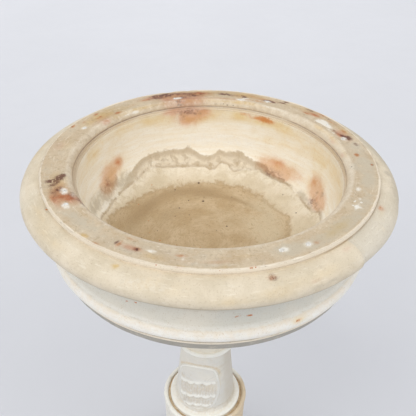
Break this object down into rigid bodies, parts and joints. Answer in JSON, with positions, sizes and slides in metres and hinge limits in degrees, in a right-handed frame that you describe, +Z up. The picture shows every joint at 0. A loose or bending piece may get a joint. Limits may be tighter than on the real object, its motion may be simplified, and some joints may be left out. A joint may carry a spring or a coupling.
{
  "type": "baptismal font",
  "caption": "Round marble font: a wide moulded basin with a flat rim and deep bowl, on a tapering carved shaft, a drum, a turned base and a square plinth.",
  "frame": {"origin": "centre of the plinth's underside, on the floor", "axes": "+Z up along the font's axis; -Y towards the carved panel; the plinth's sides lie along X and Y"},
  "size_m": [0.622, 0.622, 1],
  "materials": {
    "marble": "worn honed marble with iron and water stains",
    "mortar": "old lime mortar",
    "lead": "dull poured lead",
    "iron": "rusted wrought iron",
    "lime_filling": "smooth lime filling"
  },
  "bodies": {
    "root": {"basin": "marble", "shaft": "marble", "base_drum": "marble", "base_torus": "marble", "plinth": "marble", "basin_bed": "mortar", "drum_bed": "mortar", "plinth_bed": "mortar", "socket_fill": "mortar", "basin_dowel_lead": "lead", "shaft_dowel_lead": "lead", "drum_dowel_lead": "lead", "plinth_dowel_lead": "lead", "basin_dowel": "iron", "shaft_dowel": "iron", "drum_dowel": "iron", "plinth_dowel": "iron", "rim_iron_stubs": "iron", "rim_plugs": "lime_filling", "rim_lime_fills": "lime_filling"}
  },
  "joints": []
}
